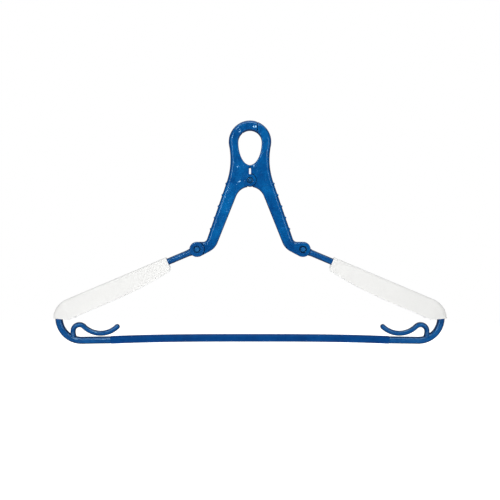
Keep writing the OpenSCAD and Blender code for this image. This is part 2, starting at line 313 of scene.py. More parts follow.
def lathe(name, centre, profile, sides=64):
    """A solid turned about the front-to-back line through centre. profile holds (radius, y) pairs, from the
    axis round to the axis."""
    inner = profile[1:-1]
    verts = []
    for r, y in inner:
        for j in range(sides):
            a = 2 * math.pi * j / sides
            verts.append((centre.x + r * math.cos(a), y, centre.y + r * math.sin(a)))
    faces = ring_faces(len(inner), sides)
    start, end = len(verts), len(verts) + 1
    verts += [(centre.x, profile[0][1], centre.y), (centre.x, profile[-1][1], centre.y)]
    last = (len(inner) - 1) * sides
    for j in range(sides):
        k = (j + 1) % sides
        faces.append((start, k, j))
        faces.append((end, last + j, last + k))
    return outward(new_object(name, verts, faces))


def drum(name, centre, r, y0, y1, sides=72):
    return lathe(name, centre, [(0, y0), (r, y0), (r, y1), (0, y1)], sides)


def prism(name, outline, y0, y1):
    n = len(outline)
    verts = [(p.x, y0, p.y) for p in outline] + [(p.x, y1, p.y) for p in outline]
    faces = [tuple(range(n)), tuple(range(2 * n - 1, n - 1, -1))] + ring_faces(2, n)
    return outward(new_object(name, verts, faces))


def combine(target, tool, operation):
    """target with tool added, cut away or kept in common. The tool is used up."""
    mod = target.modifiers.new("combine", "BOOLEAN")
    mod.operation = operation
    mod.solver = "MANIFOLD"
    mod.object = tool
    bpy.context.view_layer.update()
    made = bpy.data.meshes.new_from_object(target.evaluated_get(bpy.context.evaluated_depsgraph_get()))
    target.modifiers.remove(mod)
    old = target.data
    target.data = made
    bpy.data.meshes.remove(old)
    bpy.data.objects.remove(tool)
    return target


def cut(target, tool):
    return combine(target, tool, "DIFFERENCE")


def join(target, tool):
    return combine(target, tool, "UNION")


def half_turn(obj, name):
    """A copy turned half round the vertical, as the left-hand moulding is."""
    copy = bpy.data.objects.new(name, obj.data.copy())
    copy.data.transform(Matrix.Rotation(math.pi, 4, "Z"))
    bpy.context.scene.collection.objects.link(copy)
    return copy


def finish_surface(obj, soften=0.0, creases=False):
    """Merges stray points and shades smooth. Sharp edges are softened by the width soften, kept as creases,
    or shaded over. Faces in one plane are merged before softening, so that no sliver is left to fold."""
    bm = bmesh.new()
    bm.from_mesh(obj.data)
    bmesh.ops.remove_doubles(bm, verts=bm.verts, dist=MERGE_DISTANCE)
    if soften:
        bmesh.ops.dissolve_limit(bm, angle_limit=FLAT_ANGLE, verts=bm.verts, edges=bm.edges)
    bm.to_mesh(obj.data)
    bm.free()
    obj.data.shade_smooth()
    if creases:
        obj.data.set_sharp_from_angle(angle=SHARP_ANGLE)
    if soften:
        bevel = obj.modifiers.new("edges", "BEVEL")
        bevel.width = soften
        bevel.segments = 2
        bevel.limit_method = "ANGLE"
        bevel.angle_limit = SHARP_ANGLE
        bevel.use_clamp_overlap = False
        bevel.miter_outer = "MITER_ARC"
    normals = obj.modifiers.new("normals", "WEIGHTED_NORMAL")
    normals.keep_sharp = True
    normals.weight = 80
    return obj


# ---------------------------------------------------------------- materials

def node_at(tree, kind, x, y, **values):
    node = tree.nodes.new(kind)
    node.location = (x, y)
    for key, value in values.items():
        if hasattr(node, key):
            setattr(node, key, value)
        else:
            node.inputs[key].default_value = value
    return node


def plastic(name, colours, roughness, grain, waviness, gloss=0.5, tint=(1, 1, 1), rim=None, crevice=0.0,
            seed=0.0):
    """Injection-moulded plastic: cloudy pigment, flow marks, a fine grain, and slow waves that break up
    gloss. colours holds the middle, dark and light shades. rim holds a painted shade: a darker colour for
    the faces that look sideways, standing in for the shade they fall in, and the range of Y normals over
    which it fades out; those faces are also rougher, as they are not polished. crevice is how much painted
    shade, from ambient occlusion, darkens the narrow gaps and recesses."""
    base, dark, light = colours
    mat = bpy.data.materials.new(name)
    mat.use_nodes = True
    tree = mat.node_tree
    link = tree.links.new
    shader = tree.nodes["Principled BSDF"]
    shader.inputs["IOR"].default_value = 1.5
    shader.inputs["Specular IOR Level"].default_value = gloss
    shader.inputs["Specular Tint"].default_value = (*tint, 1)
    place = node_at(tree, "ShaderNodeTexCoord", -1300, 0)
    noise = "ShaderNodeTexNoise"
    cloud = node_at(tree, noise, -1050, 260, Scale=CLOUD_SCALE, Detail=5.0, Roughness=0.55)
    flow = node_at(tree, noise, -1050, 20, Scale=FLOW_SCALE, Detail=3.0, Roughness=0.6, Distortion=1.2)
    fine = node_at(tree, noise, -1050, -220, Scale=GRAIN_SCALE, Detail=3.0, Roughness=0.6)
    waves = node_at(tree, noise, -1050, -460, noise_dimensions="4D", Scale=WAVE_SCALE, Detail=2.0,
                    Roughness=0.5, W=seed)
    for node in (cloud, flow, fine, waves):
        link(place.outputs["Object"], node.inputs["Vector"])

    pigment = node_at(tree, "ShaderNodeMix", -820, 180, data_type="FLOAT", Factor=0.4)
    link(cloud.outputs["Fac"], pigment.inputs["A"])
    link(flow.outputs["Fac"], pigment.inputs["B"])
    ramp = node_at(tree, "ShaderNodeValToRGB", -620, 220)
    ramp.color_ramp.elements[0].position = 0.34
    ramp.color_ramp.elements[0].color = (*dark, 1)
    ramp.color_ramp.elements[1].position = 0.68
    ramp.color_ramp.elements[1].color = (*light, 1)
    middle = ramp.color_ramp.elements.new(0.5)
    middle.color = (*base, 1)
    link(pigment.outputs["Result"], ramp.inputs["Fac"])
    colour = ramp.outputs["Color"]

    rough = ranged(tree, -620, -60, 0.3, 0.7, roughness * 0.78, roughness * 1.3)
    link(flow.outputs["Fac"], rough.inputs["Value"])
    polish = rough.outputs["Result"]
    # Painted shade: the base colour darkens towards the rim colour as the surface turns sideways, as if
    # those faces were less lit; their roughness also rises.
    if rim:
        split = node_at(tree, "ShaderNodeSeparateXYZ", -1050, 480)
        facing = node_at(tree, "ShaderNodeMath", -820, 480, operation="ABSOLUTE")
        link(place.outputs["Normal"], split.inputs["Vector"])
        link(split.outputs["Y"], facing.inputs[0])
        rim_shade, rim_from, rim_to = rim
        turned = ranged(tree, -620, 480, rim_from, rim_to, 0.0, 1.0)
        dull = ranged(tree, -620, 700, rim_from, rim_to, RIM_ROUGHNESS, 0.0)
        for node in (turned, dull):
            link(facing.outputs["Value"], node.inputs["Value"])
        rim_shaded = node_at(tree, "ShaderNodeMix", -400, 300, data_type="RGBA")
        rim_shaded.inputs[6].default_value = (*rim_shade, 1)
        link(turned.outputs["Result"], rim_shaded.inputs[0])
        link(colour, rim_shaded.inputs[7])
        colour = rim_shaded.outputs[2]
        rougher = node_at(tree, "ShaderNodeMath", -400, 0, operation="MAXIMUM")
        link(polish, rougher.inputs[0])
        link(dull.outputs["Result"], rougher.inputs[1])
        polish = rougher.outputs["Value"]
    # Painted shade: ambient occlusion darkens the base colour in narrow gaps and recesses.
    if crevice:
        closed = node_at(tree, "ShaderNodeAmbientOcclusion", -620, 1140, samples=8, Distance=CREVICE)
        painted_crevice_shade = ranged(tree, -400, 1140, 0.25, 0.85, 1 - crevice, 1.0)
        shaded = node_at(tree, "ShaderNodeMix", -200, 300, data_type="RGBA", blend_type="MULTIPLY")
        shaded.inputs[0].default_value = 1.0
        link(closed.outputs["AO"], painted_crevice_shade.inputs["Value"])
        link(colour, shaded.inputs[6])
        link(painted_crevice_shade.outputs["Result"], shaded.inputs[7])
        colour = shaded.outputs[2]
    link(colour, shader.inputs["Base Color"])
    link(polish, shader.inputs["Roughness"])

    grain_bump = node_at(tree, "ShaderNodeBump", -620, -260, Strength=grain, Distance=GRAIN_HEIGHT)
    wave_bump = node_at(tree, "ShaderNodeBump", -380, -340, Strength=waviness, Distance=WAVE_HEIGHT)
    link(fine.outputs["Fac"], grain_bump.inputs["Height"])
    link(waves.outputs["Fac"], wave_bump.inputs["Height"])
    link(grain_bump.outputs["Normal"], wave_bump.inputs["Normal"])
    link(wave_bump.outputs["Normal"], shader.inputs["Normal"])
    return mat


def ranged(tree, x, y, low, high, to_low, to_high):
    """A node that maps low..high to to_low..to_high."""
    node = node_at(tree, "ShaderNodeMapRange", x, y)
    for key, value in (("From Min", low), ("From Max", high), ("To Min", to_low), ("To Max", to_high)):
        node.inputs[key].default_value = value
    return node


def linear(r, g, b):
    """A display colour, 0 to 255, as the renderer's linear colour."""
    def channel(v):
        v /= 255
        return v / 12.92 if v <= 0.04045 else ((v + 0.055) / 1.055) ** 2.4
    return tuple(channel(v) for v in (r, g, b))


# Noise scales are in features for each metre.
CLOUD_SCALE = 55.0
FLOW_SCALE = 230.0
GRAIN_SCALE = 5200.0
WAVE_SCALE = 95.0
GRAIN_HEIGHT = 0.04 * MM
WAVE_HEIGHT = 2.0 * MM
RIM_ROUGHNESS = 0.6
# How far the painted crevice shade reaches.
CREVICE = 3.0 * MM
SKY_TINT = (0.48, 0.82, 1.0)
DEEP_TINT = (0.2, 0.7, 1.0)
CLIP_SEED = 8.5

# Painted shade: darker sideways faces (rim) and darker gaps and recesses (crevice).
CLIP_PLASTIC = plastic(
    "clip_plastic", (linear(0, 88, 157), linear(0, 68, 135), linear(4, 110, 183)),
    roughness=0.14, grain=0.03, waviness=0.72, gloss=0.8, tint=SKY_TINT,
    rim=(linear(0, 52, 112), 0.6, 0.86), crevice=0.65, seed=CLIP_SEED)
# Painted shade: darker sideways faces (rim).
ROD_PLASTIC = plastic(
    "rod_plastic", (linear(0, 80, 149), linear(0, 67, 132), linear(4, 96, 167)),
    roughness=0.2, grain=0.03, waviness=0.1, gloss=1.0, tint=SKY_TINT, rim=(linear(0, 40, 92), 0.6, 0.86))
BAR_PLASTIC = plastic(
    "bar_plastic", (linear(0, 63, 133), linear(0, 54, 121), linear(2, 73, 145)),
    roughness=0.4, grain=0.1, waviness=0.12, gloss=0.3, tint=DEEP_TINT)
# Painted shade: darker gaps and recesses (crevice).
PIN_PLASTIC = plastic(
    "pin_plastic", (linear(18, 100, 166), linear(10, 88, 152), linear(28, 112, 178)),
    roughness=0.25, grain=0.03, waviness=0.2, tint=SKY_TINT, crevice=0.85)
# Painted shade: greyer sideways faces (rim).
COVER_PLASTIC = plastic(
    "cover_plastic", (linear(250, 250, 248), linear(248, 248, 246), linear(252, 252, 250)),
    roughness=0.5, grain=0.02, waviness=0.05, rim=(linear(214, 215, 216), 0.15, 0.5))


def dress(obj, material):
    obj.data.materials.clear()
    obj.data.materials.append(material)
    return obj


# ---------------------------------------------------------------- camera

def make_camera():
    """Straight on, a little under the object's middle, as the hanger is seen."""
    low, high = cad_box
    lens, sensor = 60.0, 36.0
    distance = (high.x - low.x) / WIDTH_SHARE * lens / sensor
    data = bpy.data.cameras.new("camera")
    data.lens = lens
    data.sensor_width = sensor
    data.clip_start, data.clip_end = 0.05, 20
    camera = bpy.data.objects.new("camera", data)
    camera.location = (0, -distance, (low.z + high.z) / 2 - EYE_DROP * (high.z - low.z))
    camera.rotation_euler = (math.radians(90), 0, 0)
    bpy.context.scene.collection.objects.link(camera)
    bpy.context.scene.camera = camera


# ---------------------------------------------------------------- clip levers

def lever_curve():
    """Right-hand outline of the closed clip, from the ring's top round the leg to the crotch's top.
    Each point carries its edge rounding."""
    tangent_angle = math.degrees(math.asin(WAIST_DROP / (RING_R + WAIST_CURVE_R)))
    waist_x = (RING_R + WAIST_CURVE_R) * math.cos(math.radians(tangent_angle))
    waist_c = Vector((waist_x, -WAIST_DROP))
    outer_top = waist_c + WAIST_CURVE_R * toward(180 + OUTER_LEAN)
    outer_dir = OUTER_LEAN - 90
    crotch_c = Vector((0, -CROTCH_DROP))
    crotch_end = crotch_c + CROTCH_R * toward(INNER_LEAN)
    inner_dir = INNER_LEAN - 90
    foot_touch = RIGHT_PIN + FOOT_R * toward(270 - FOOT_SLOPE)
    elbow_corner = meet(crotch_end, inner_dir, foot_touch, -FOOT_SLOPE)
    elbow_turn = 90 - INNER_LEAN - FOOT_SLOPE
    elbow_start = elbow_corner - toward(inner_dir) * (ELBOW_R * math.tan(math.radians(elbow_turn / 2)))
    elbow_c = elbow_start + ELBOW_R * toward(INNER_LEAN)
    foot_top = RIGHT_PIN + Vector((0, FOOT_R))
    fillet_corner = meet(outer_top, outer_dir, foot_top, 0)
    fillet_c = Vector((fillet_corner.x + FILLET_R * math.tan(math.radians((90 - OUTER_LEAN) / 2)),
                       foot_top.y + FILLET_R))
    leg_end = fillet_c + FILLET_R * toward(180 + OUTER_LEAN)
    runs = [
        (arc(Vector((0, 0)), RING_R, 90, -tangent_angle, 60), OUTER_ROUND),
        (arc(waist_c, WAIST_CURVE_R, 180 - tangent_angle, 180 + OUTER_LEAN, 24)[1:], OUTER_ROUND),
        ([outer_top.lerp(leg_end, t) for t in blend_steps(0, 1, 16)[1:-1]], OUTER_ROUND),
        (arc(fillet_c, FILLET_R, 180 + OUTER_LEAN, 270, 10), OUTER_ROUND),
        (arc(RIGHT_PIN, FOOT_R, 90, -90 - FOOT_SLOPE, 48)[1:], INNER_ROUND),
        (arc(elbow_c, ELBOW_R, 270 - FOOT_SLOPE, 180 + INNER_LEAN, 14), INNER_ROUND),
        ([elbow_start.lerp(crotch_end, t) for t in blend_steps(0, 1, 14)[1:-1]], INNER_ROUND),
        (arc(crotch_c, CROTCH_R, INNER_LEAN, 90, 28), INNER_ROUND),
    ]
    points = [p for run, _ in runs for p in run]
    rounds = [r for run, r in runs for _ in run]
    return points, smoothed(rounds, 6), outer_top


def smoothed(values, times):
    """The values, averaged with their neighbours, so that one rounding runs into the next."""
    for _ in range(times):
        padded = [values[0]] + values + [values[-1]]
        values = [(padded[i] + 2 * padded[i + 1] + padded[i + 2]) / 4 for i in range(len(values))]
    return values


def inward(points, i):
    """Unit normal of a closed clockwise outline at its point i, to its right-hand side."""
    d = (points[(i + 1) % len(points)] - points[i - 1]).normalized()
    return Vector((d.y, -d.x))


def rounded_plate(name, loops, depth, steps=6, inset=0.25 * MM):
    """A plate with rounded front and rear edges. loops holds (points, roundings), the outer loop clockwise
    and the holes anticlockwise, so that the solid lies on each loop's right."""
    verts, faces, caps = [], [], []
    for points, rounds in loops:
        n = len(points)
        normals = [inward(points, i) for i in range(n)]
        rows = []
        for s in range(steps + 1):
            a = math.radians(90 * s / steps)
            rows.append([(points[i] + normals[i] * rounds[i] * (1 - math.sin(a)),
                          -depth + rounds[i] * (1 - math.cos(a))) for i in range(n)])
        rows.insert(0, [(points[i] + normals[i] * (rounds[i] + inset), -depth) for i in range(n)])
        rows += [[(p, -y) for p, y in row] for row in reversed(rows)]
        base = len(verts)
        verts += [(p.x, y, p.y) for row in rows for p, y in row]
        faces += [tuple(base + v for v in f) for f in ring_faces(len(rows), n)]
        caps.append((base, base + (len(rows) - 1) * n, n))
    for end in (0, 1):
        starts = [c[end] for c in caps]
        outline = [[Vector((verts[s + i][0], verts[s + i][2], 0)) for i in range(c[2])]
                   for s, c in zip(starts, caps)]
        index = [s + i for s, c in zip(starts, caps) for i in range(c[2])]
        faces += [tuple(index[v] for v in t) for t in tessellate_polygon(outline)]
    return outward(new_object(name, verts, faces))


def egg_bore():
    upper = arc(Vector((0, 0)), BORE_R, 0, 180, 48)
    lower = [Vector((BORE_R * toward(a).x, BORE_DROP * toward(a).y))
             for a in blend_steps(180, 360, 65)[1:-1]]
    return upper + lower


def capsule(name, centre, r, half):
    """A round-ended pin from front to back, half its length to each side of the middle."""
    ball = [(r * toward(a).x, half - r + r * toward(a).y) for a in range(0, 91, 15)]
    profile = [(x, -y) for x, y in reversed(ball)] + ball
    return lathe(name, centre, profile, 24)


def closing_corners():
    """Outer corners of the room below the hub for the other leg, from right to left."""
    return [HUB + (HUB_DISC_R + CLOSING_DEPTH) * toward(a) for a in (LEVER_SWING - 90, LEVER_STOP)]


def lever_shape(name, lap_y, foot_hole_r):
    """The right-hand lever. Its ring tip and hub disc lie behind the lapped faces at lap_y, its foot in
    front."""
    points, rounds, outer_top = lever_curve()
    whole = points + mirrored(points)[1:-1]
    whole_rounds = rounds + list(reversed(rounds))[1:-1]
    bore = egg_bore()
    lever = rounded_plate(name, [(whole, whole_rounds), (bore, [INNER_ROUND] * len(bore))], HALF_DEPTH)

    beyond = HALF_DEPTH + TOOL_REACH
    overlap = 0.002 * MM
    left, top, low = -90 * MM, 40 * MM, -140 * MM

    def other_half(lap, hub_edge):
        """Everything left of the seam, with the ring's lap reaching to lap."""
        step = -1 * MM
        upper = [Vector((left, top)), Vector((lap, top)), Vector((lap, step)), Vector((SEAM_GAP, step))]
        return upper + hub_edge + [Vector((SEAM_GAP, low)), Vector((left, low))]

    front_edge = arc(HUB, HUB_DISC_R + DISC_GAP, 89, LEVER_SWING - 90, 40) + closing_corners()
    cut(lever, prism("front_room", other_half(LAP_REACH + TIP_GAP, front_edge), -beyond, lap_y))
    rear_edge = arc(HUB, HUB_DISC_R, 89, 271, 48)
    cut(lever, prism("rear_room", other_half(TIP_GAP - LAP_REACH, rear_edge), lap_y - overlap, beyond))
    closing_room = arc(HUB, HUB_DISC_R, LEVER_SWING - 90, LEVER_STOP, 16) + closing_corners()[::-1]
    cut(lever, prism("closing_room", closing_room, lap_y - overlap, beyond))
    slot = arc(Vector((0, -SLOT_TOP - SLOT_HALF)), SLOT_HALF, 0, 180, 16)
    slot_end = HUB.y + HUB_DISC_R - 0.1 * MM
    slot += [Vector((-SLOT_HALF, slot_end)), Vector((SLOT_HALF, slot_end))]
    cut(lever, prism("slot", slot, -beyond, beyond))
    cut(lever, drum("hub_hole", HUB, HUB_SHAFT_R + PIN_PLAY, -beyond, beyond))
    cut(lever, drum("hub_recess", HUB, HUB_RECESS_R, HALF_DEPTH - HUB_RECESS, beyond))
    cut(lever, drum("eye_room", RIGHT_PIN, FOOT_R + EYE_GAP, -LAP_GAP, beyond, 96))
    cut(lever, drum("foot_hole", RIGHT_PIN, foot_hole_r, -beyond, beyond))
    cut(lever, drum("foot_recess", RIGHT_PIN, LEG_RECESS_R, -beyond, LEG_RECESS - HALF_DEPTH))
    first_rib = outer_top + (RIB_HEIGHT - RIB_R) * toward(OUTER_LEAN)
    for i in range(RIB_COUNT):
        p = first_rib + (FIRST_RIB + i * RIB_PITCH) * toward(OUTER_LEAN - 90)
        join(lever, capsule("rib", p, RIB_R, HALF_DEPTH - RIB_INSET))
    return lever


def make_levers():
    right = lever_shape("right_clip_lever", LAP_SHIFT + LAP_GAP, LEG_SHAFT_R)
    pattern = lever_shape("pattern", LAP_GAP - LAP_SHIFT, LEG_SHAFT_R + PIN_PLAY)
    left = half_turn(pattern, "left_clip_lever")
    bpy.data.objects.remove(pattern)
    for obj, body in ((right, "right_lever"), (left, "left_lever")):
        finish_surface(obj, soften=EDGE_SOFTNESS)
        dress(obj, CLIP_PLASTIC)
        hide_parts(body)
        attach(obj, body)


# ---------------------------------------------------------------- pins

def pin_profile(shaft_r, head_r, recess, head_h, soft, dimple_r=0.0, nib_r=0.0):
    """Profile of a two-headed pin, with rounded heads and a dimple or a raised nib in each."""
    floor = HALF_DEPTH - recess + PIN_PLAY
    top = floor + head_h
    side = [(shaft_r, 0), (shaft_r, floor), (head_r, floor), (head_r, top - soft)]
    side += [(head_r - soft + soft * toward(a).x, top - soft + soft * toward(a).y) for a in (30, 60, 90)]
    if dimple_r:
        side += [(dimple_r * 1.5, top), (dimple_r, top - 0.2 * MM), (0, top - 0.35 * MM)]
    if nib_r:
        crown = HALF_DEPTH - 0.2 * MM
        side += [(nib_r, top), (nib_r, crown - soft), (nib_r - soft / 2, crown - soft / 4),
                 (nib_r - soft, crown), (0, crown)]
    return [(r, -y) for r, y in reversed(side[1:])] + side[1:]


def make_pins():
    hub = pin_profile(HUB_SHAFT_R, HUB_HEAD_R, HUB_RECESS, HUB_HEAD_H, soft=0.3 * MM, nib_r=HUB_NIB_R)
    leg = pin_profile(LEG_SHAFT_R, LEG_HEAD_R, LEG_RECESS, LEG_HEAD_H, soft=0.8 * MM, dimple_r=LEG_DIMPLE_R)
    pins = [("hub_rivet", "hub_pin", "hub", HUB, hub),
            ("left_leg_rivet", "left_leg_pin", "left_arm", LEFT_PIN, leg),
            ("right_leg_rivet", "right_leg_pin", "right_lever", RIGHT_PIN, leg)]
    for name, node, body, place, profile in pins:
        obj = lathe(name, place, profile)
        finish_surface(obj)
        dress(obj, PIN_PLASTIC)
        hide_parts(node)
        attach(obj, body)


# ---------------------------------------------------------------- arms

def below_line(start, x, gap):
    """The point at x whose distance below the right arm's slope through start is gap."""
    slope = math.radians(ARM_SLOPE)
    return Vector((x, start.y - (x - start.x) * math.tan(slope) - gap / math.cos(slope)))


def shoulder_bend():
    """Centre of the right arm's bend down to its corner moulding."""
    return below_line(RIGHT_PIN, SHOULDER_X - SHOULDER_BEND_R, SHOULDER_BEND_R)


def right_arm(name, hole_r):
    along = toward(-ARM_SLOPE)
    start = RIGHT_PIN + ROD_START * along
    bend = arc(shoulder_bend(), SHOULDER_BEND_R, 90 - ARM_SLOPE, 0, 20)
    path = [start.lerp(bend[0], t) for t in blend_steps(0, 1, 60)[:-1]] + bend
    neck = FOOT_R + ROD_FLARE_LENGTH
    radii = [ROD_R + ROD_FLARE * max(0, 1 - (p - RIGHT_PIN).length / neck) ** 0.5 for p in path]
    rod = tube(name, path, radii)
    spigot = [bend[-1] + Vector((0, HIDDEN_JOIN)), bend[-1] - Vector((0, SPIGOT_LENGTH))]
    join(rod, tube("spigot", spigot, SPIGOT_R, 32))
    for d in COLLAR_PLACES:
        p = RIGHT_PIN + (COVER_START + d) * along
        join(rod, tube("collar", [p, p + COLLAR_W * along], COLLAR_R, 32))
    beyond = HALF_DEPTH + TOOL_REACH
    cut(rod, drum("foot_room", RIGHT_PIN, FOOT_R + EYE_GAP, -beyond, LAP_GAP, 96))
    soft = INNER_ROUND
    rim = [(FOOT_R - soft + soft * toward(a).x, HALF_DEPTH - soft + soft * toward(a).y)
           for a in range(0, 91, 15)]
    eye = [(0, LAP_GAP), (FOOT_R, LAP_GAP)] + rim + [(0, HALF_DEPTH)]
    join(rod, lathe("eye", RIGHT_PIN, eye, 96))
    cut(rod, drum("pin_hole", RIGHT_PIN, hole_r, -beyond, beyond))
    cut(rod, drum("recess", RIGHT_PIN, LEG_RECESS_R, HALF_DEPTH - LEG_RECESS, beyond))
    return rod


def make_arms():
    right = right_arm("right_arm_bar", LEG_SHAFT_R + OPEN_PIVOT_PLAY)
    pattern = right_arm("pattern", LEG_SHAFT_R)
    left = half_turn(pattern, "left_arm_bar")
    bpy.data.objects.remove(pattern)
    for obj, side in ((right, "right"), (left, "left")):
        finish_surface(obj, creases=True)
        dress(obj, ROD_PLASTIC)
        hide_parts(side + "_arm_rod")
        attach(obj, side + "_arm")


# ---------------------------------------------------------------- shoulder covers

def skirt(u):
    """Depth of the cover's side below its ridge, at u along the ridge from its narrow end."""
    rounding = HEM_ROUND - math.sqrt(HEM_ROUND ** 2 - (HEM_ROUND - u) ** 2) if u < HEM_ROUND else 0
    return SKIRT_START + (SKIRT_FULL - SKIRT_START) * (1 - max(0, 1 - u / SKIRT_SWELL) ** 2) - rounding


def cover_half_section(r, full_r, lean, h, arc_steps=14, side_steps=8):
    """From the ridge down one side: (sideways, depth) points."""
    tan = math.tan(math.radians(lean))
    out = []
    for i in range(arc_steps + 1):
        a = math.radians(90 - (90 - lean) * i / arc_steps)
        out.append((r * math.cos(a), full_r - r * math.sin(a)))
    y0, d0 = out[-1]
    for i in range(1, side_steps + 1):
        d = (h - d0) * i / side_steps
        out.append((y0 + d * tan, d0 + d))
    return out


def cover_section(u, t, length):
    """The closed section of the cover: outer side, rounded hem, inner side, rounded hem. u runs along the
    ridge to length, and t round the shoulder from 0 to 1."""
    f = math.sin(math.pi / 2 * min(1, u / length))
    r = RIDGE_R[0] + (RIDGE_R[1] - RIDGE_R[0]) * f + (RIDGE_R[2] - RIDGE_R[1]) * t
    lean = LEAN[0] + (LEAN[1] - LEAN[0]) * f + (LEAN[2] - LEAN[1]) * t
    hem = COVER_WALL / 2
    h = skirt(u) - hem * 0.9
    outer = cover_half_section(r, r, lean, h)
    inner = cover_half_section(r - COVER_WALL, r, lean, h)
    middle = ((outer[-1][0] + inner[-1][0]) / 2, (outer[-1][1] + inner[-1][1]) / 2)
    across = (outer[-1][0] - middle[0], outer[-1][1] - middle[1])
    down = toward(90 - lean)
    edge = []
    for a in (30, 60, 90, 120, 150):
        c, s = toward(a)
        edge.append((middle[0] + across[0] * c + down.x * hem * s,
                     middle[1] + across[1] * c + down.y * hem * s))
    right = outer + edge + list(reversed(inner))
    left = [(-y, d) for y, d in reversed(right)]
    return right[:-1] + left[:-1]


def right_cover():
    along, drop = toward(-ARM_SLOPE), toward(-90 - ARM_SLOPE)
    ridge_start = RIGHT_PIN + COVER_START * along - RIDGE_RISE * drop
    centre = below_line(ridge_start, SHOULDER_TIP - SHOULDER_R, SHOULDER_R)
    length = (centre - SHOULDER_R * drop - ridge_start).length
    mouth_angle = math.degrees(math.asin((COVER_MOUTH_Z - centre.y) / SHOULDER_R))
    rings = []
    straight, bent = 70, 30
    for i in range(straight + 1):
        u = length * (i / straight) ** 1.5
        rings.append((ridge_start + u * along, drop, cover_section(u, 0, length)))
    for i in range(1, bent + 1):
        t = i / bent
        d = toward(90 - ARM_SLOPE - (90 - ARM_SLOPE - mouth_angle) * t)
        rings.append((centre + SHOULDER_R * d, -d, cover_section(length, t, length)))
    n = len(rings[0][2])
    verts = [(p.x + s[1] * d.x, s[0], p.y + s[1] * d.y) for p, d, section in rings for s in section]
    faces = ring_faces(len(rings), n)
    last = (len(rings) - 1) * n
    half = n // 2
    # Each end is closed by joining the section's outer side to its inner side, right half and left half.
    for base, flip in ((0, False), (last, True)):
        for j in range(half // 2):
            for a, b, c, d in ((j, j + 1, half - 1 - j, half - j),
                               (half + j, half + j + 1, n - 1 - j, (n - j) % n)):
                quad = (base + a, base + b, base + c, base + d)
                if len(set(quad)) > 2:
                    quad = tuple(dict.fromkeys(quad))
                    faces.append(tuple(reversed(quad)) if flip else quad)
    return outward(new_object("right_shoulder_shell", verts, faces))


def make_covers():
    right = right_cover()
    left = half_turn(right, "left_shoulder_shell")
    for obj, side in ((right, "right"), (left, "left")):
        finish_surface(obj)
        dress(obj, COVER_PLASTIC)
        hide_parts(side + "_shoulder_cover")
        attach(obj, side + "_arm")


# ---------------------------------------------------------------- corners and hooks

def corner_frame():
    """Centre of the right corner's bend, and the end of the corner on the bar."""
    slope = math.radians(BAR_SLOPE)
    x = SHOULDER_X - CORNER_BEND_R
    centre = Vector((x, BAR_MIDDLE.y - math.tan(slope) * x + CORNER_BEND_R / math.cos(slope)))
    end = Vector((CORNER_END_X, BAR_MIDDLE.y - math.tan(slope) * CORNER_END_X))
    return centre, end


def hook_path(run_top):
    """Right-hand strap hook, over a corner whose top is at the height run_top below the valley: stem, loop,
    and the valley that curls up to the tip. Also says how many points belong to the flared root."""
    valley_x = SHOULDER_X - VALLEY_INSET
    valley_bottom = run_top + HOOK_GAP + HOOK_R
    loop_c = Vector((SHOULDER_X - LOOP_INSET, valley_bottom + LOOP_RISE))
    reach = loop_c.x - valley_x
    valley_r = (reach ** 2 + LOOP_RISE ** 2 - LOOP_R ** 2) / (2 * (LOOP_R + LOOP_RISE))
    valley_c = Vector((valley_x, valley_bottom + valley_r))
    touch = math.degrees(math.atan2(valley_c.y - loop_c.y, valley_c.x - loop_c.x))
    root = loop_c + Vector((LOOP_R, 0))
    stem = [root - Vector((0, HOOK_STEM_H * (1 - t))) for t in blend_steps(0, 1, 12)[:-1]]
    loop = arc(loop_c, LOOP_R, 0, touch, 30)
    valley = arc(valley_c, valley_r, touch + 180, HOOK_TIP_ANGLE, 40)[1:]
    return stem + loop + valley, len(stem) + 4


def right_corner():
    centre, end = corner_frame()
    bend_c = shoulder_bend()
    inwards = toward(-BAR_SLOPE)
    start = Vector((SHOULDER_X, bend_c.y))
    bend = arc(centre, CORNER_BEND_R, 0, -90 - BAR_SLOPE, 40)
    path = [start, start.lerp(bend[0], 0.5)] + bend
    path += [bend[-1].lerp(end, t) for t in blend_steps(0, 1, 14)[1:]]
    body = tube("right_corner_moulding", path, CORNER_R)
    plug = [end + HIDDEN_JOIN * inwards, end - PLUG_LENGTH * inwards]
    join(body, tube("plug", plug, BAR_BORE_R - 0.02 * MM, 32))

    slope = math.radians(BAR_SLOPE)
    valley_x = SHOULDER_X - VALLEY_INSET
    run_top = BAR_MIDDLE.y - math.tan(slope) * valley_x + CORNER_R / math.cos(slope)
    path, flared = hook_path(run_top)
    radii = []
    for i, p in enumerate(path):
        flare = max(0, 1 - (p.y - path[0].y) / HOOK_FLARE_H) if i < flared else 0
        radii.append(HOOK_R + HOOK_FLARE * flare ** 2)
    join(body, tube("hook", path, radii, 40, round_end=True))
    top = bend_c + Vector((SHOULDER_BEND_R, 1 * MM))
    cut(body, tube("socket", [top, top - Vector((0, SPIGOT_LENGTH + 1 * MM))], SPIGOT_R, 32))
    return body


def make_corners():
    right = right_corner()
    left = half_turn(right, "left_corner_moulding")
    for obj, side in ((right, "right"), (left, "left")):
        finish_surface(obj, creases=True)
        dress(obj, ROD_PLASTIC)
        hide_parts(side + "_corner")
        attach(obj, side + "_arm")


# ---------------------------------------------------------------- bar

def bar_path():
    """The bar's middle line, level in the middle and with the corners' slope at its ends."""
    _, end = corner_frame()
    length = end.x
    fall = BAR_MIDDLE.y - end.y
    slope = math.tan(math.radians(BAR_SLOPE))
    cubic = (2 * fall / length - slope) / length ** 2
    square = fall / length ** 2 - cubic * length
    return [Vector((x, BAR_MIDDLE.y - square * x * x - cubic * abs(x) ** 3))
            for x in blend_steps(-length, length, 121)]


